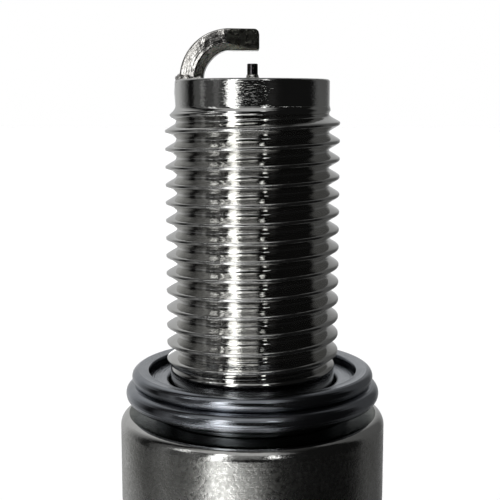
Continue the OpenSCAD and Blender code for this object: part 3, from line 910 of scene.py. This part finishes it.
# ---------------------------------------------------------------- studio
# Lamps that metal mirrors: azimuth of the middle, half its width, soft edge, lowest and highest elevation,
# and brightness. Angles are in degrees; azimuth 0 is the camera's side of the plug and + is to its right.
LAMPS = [
    # The tall window on the left, which draws the long bright column
    (-30.5, 5.0, 1.2, -8, 48, 3.4),
    (-24, 5.0, 2.5, -36, -14, 1.0),
    (-30.5, 5.0, 1.2, -56, -42, 3.0),
    (-28, 8.0, 4.0, -34, -20, 3.4),
    # The paler wall beside it
    (-20, 3.0, 3.0, 10, 40, 0.18),
    (-6, 12, 5.0, -42, -22, 0.36),
    (-6, 12, 5.0, 26, 42, 0.22),
    # Slits further left, which leave rows of glints on the thread
    (-71, 1.4, 0.6, 30, 44, 2.2),
    (-71, 1.4, 0.6, -60, -40, 2.8),
    (-64, 1.2, 0.6, 30, 44, 2.4),
    (-64, 1.2, 0.6, -60, -40, 3.0),
    (-50, 1.2, 0.6, -58, -30, 2.6),
    (-42, 1.0, 0.6, -58, -30, 1.8),
    # Grey stripes of the left wall
    (-78, 2.6, 1.5, -40, 44, 0.20),
    (-66, 5.0, 2.0, -40, 44, 0.06),
    (-54, 3.2, 2.0, -40, 44, 0.15),
    (-45, 1.2, 1.5, -40, 44, 0.10),
    (-88, 6.0, 4.0, -40, 44, 0.08),
    (-92, 26, 8.0, -40, -20, 0.10),
    # The slit on the right
    (19.2, 2.0, 0.8, 26, 40, 4.0),
    (19.2, 2.0, 0.8, -62, -48, 3.0),
    # Soft light from below, from above and on the table's edge
    (-20, 34, 14, -66, -56, 0.40),
    (-20, 45, 25, 50, 72, 0.50),
    (-8, 10, 8, -30, -18, 0.8),
    # Behind the plug, on the left and on the right
    (-161, 22, 32, -58, 58, 0.52),
    (144, 35, 8, -58, 58, 0.095),
    (27, 6, 4, -30, 6, 0.015),
    (-174, 6, 3, -16, -4, 1.2),
]
OVERHEAD = 0.04
ROOM = 0.008

# Daylight on matt surfaces: from all round, from above and from the window's side
AMBIENT = 0.34
SKY = 0.80
WINDOW = 0.55
WINDOW_SIDE = Vector((-0.62, -0.62, 0.48))


def build_world():
    """A white backdrop for the camera, soft daylight for matt surfaces, a dark room with lamps for metal."""
    world = bpy.data.worlds.new("studio")
    bpy.context.scene.world = world
    world.use_nodes = True
    tree = world.node_tree
    tree.nodes.clear()

    def node(kind, **inputs):
        made = tree.nodes.new(kind)
        for name, value in inputs.items():
            made.inputs[name].default_value = value
        return made

    def calc(operation, *values):
        made = tree.nodes.new("ShaderNodeMath")
        made.operation = operation
        for socket, value in zip(made.inputs, values):
            if isinstance(value, (int, float)):
                socket.default_value = value
            else:
                tree.links.new(value, socket)
        return made.outputs[0]

    def window(value, low, high, soft):
        """1 from low to high, falling to 0 over soft on each side."""
        rise = calc("DIVIDE", calc("SUBTRACT", value, low - soft), soft)
        fall = calc("DIVIDE", calc("SUBTRACT", high + soft, value), soft)
        return calc("MINIMUM", 1.0, calc("MAXIMUM", 0.0, calc("MINIMUM", rise, fall)))

    def background(strength, colour):
        made = node("ShaderNodeBackground")
        made.inputs["Color"].default_value = (*colour, 1)
        if isinstance(strength, (int, float)):
            made.inputs["Strength"].default_value = strength
        else:
            tree.links.new(strength, made.inputs["Strength"])
        return made.outputs[0]

    def choose(ray, otherwise, shader):
        """The shader for one kind of ray, and the other one for the rest."""
        mix = node("ShaderNodeMixShader")
        tree.links.new(path.outputs[ray], mix.inputs[0])
        tree.links.new(otherwise, mix.inputs[1])
        tree.links.new(shader, mix.inputs[2])
        return mix.outputs[0]

    path = node("ShaderNodeLightPath")
    split = node("ShaderNodeSeparateXYZ")
    tree.links.new(tree.nodes.new("ShaderNodeTexCoord").outputs["Generated"], split.inputs[0])
    x, y, z = split.outputs
    azimuth = calc("DEGREES", calc("ARCTAN2", x, calc("MULTIPLY", y, -1.0)))
    elevation = calc("DEGREES", calc("ARCSINE", z))

    mirrored = calc("MULTIPLY_ADD", window(elevation, 74, 90, 20), OVERHEAD, ROOM)
    for centre, half, edge, low, high, power in LAMPS:
        turned = calc("WRAP", calc("SUBTRACT", azimuth, centre), 180.0, -180.0)
        lit = calc("MULTIPLY", window(turned, -half, half, edge), window(elevation, low, high, 6))
        mirrored = calc("MULTIPLY_ADD", lit, power, mirrored)

    facing = calc("ADD", calc("MULTIPLY", x, WINDOW_SIDE.x), calc("MULTIPLY", y, WINDOW_SIDE.y))
    facing = calc("MAXIMUM", 0.0, calc("MULTIPLY_ADD", z, WINDOW_SIDE.z, facing))
    upward = calc("MAXIMUM", 0.0, z)
    daylight = calc("MULTIPLY_ADD", facing, WINDOW, AMBIENT)
    daylight = calc("MULTIPLY_ADD", upward, SKY, daylight)

    shader = background(mirrored, (0.98, 0.99, 1.0))
    shader = choose("Is Diffuse Ray", shader, background(daylight, (1, 1, 1)))
    shader = choose("Is Camera Ray", shader, background(1.0, (1, 1, 1)))
    tree.links.new(shader, node("ShaderNodeOutputWorld").inputs["Surface"])


def build_floor():
    """A large pale floor, which metal doesn't mirror and which lights nothing.

    It lies far enough below the terminal for the nut to come off.
    """
    size = 3000
    room_for_nut = 10
    floor_z = TERMINAL_END - room_for_nut
    mesh = bpy.data.meshes.new("floor")
    corners = [(-size, -size), (size, -size), (size, size), (-size, size)]
    mesh.from_pydata([(x * MM, y * MM, floor_z * MM) for x, y in corners], [], [(0, 1, 2, 3)])
    floor = bpy.data.objects.new("floor", mesh)
    bpy.context.scene.collection.objects.link(floor)
    m = Nodes("floor_paper")
    m.colour(m.ramp(m.noise(0.02, 2.0), [(0.3, (0.93, 0.93, 0.93)), (0.7, (0.95, 0.95, 0.95))]))
    m.set(Roughness=1.0, Specular_IOR_Level=0.0)
    mesh.materials.append(m.material)
    floor.visible_glossy = False
    floor.visible_diffuse = False


def build_studio():
    build_world()
    build_floor()
    bpy.context.scene.view_settings.view_transform = "Standard"


def build_camera():
    """Close and level with the upper thread, looking along +Y and slightly down."""
    data = bpy.data.cameras.new("camera")
    data.sensor_width = 36
    data.lens = 76.2
    data.clip_start = 0.001
    camera = bpy.data.objects.new("camera", data)
    bpy.context.scene.collection.objects.link(camera)
    camera.location = (-0.137 * MM, -60 * MM, 17.855 * MM)
    camera.rotation_euler = (math.radians(90 - 8.07), 0, 0)
    bpy.context.scene.camera = camera


# ---------------------------------------------------------------- the plug
build_camera()
build_studio()
plate = terminal_metal()
nickel = bar_metal()
flash = weld_metal()
build_shell(shell_metal())
build_bar(nickel)
build_weld(flash)
build_center(sheath_metal(), iridium_metal(), flash)
build_insulator(alumina())
build_stud(plate)
build_nut(plate)
build_gasket(gasket_metal())
dress_inner_nodes()

bpy.context.view_layer.update()
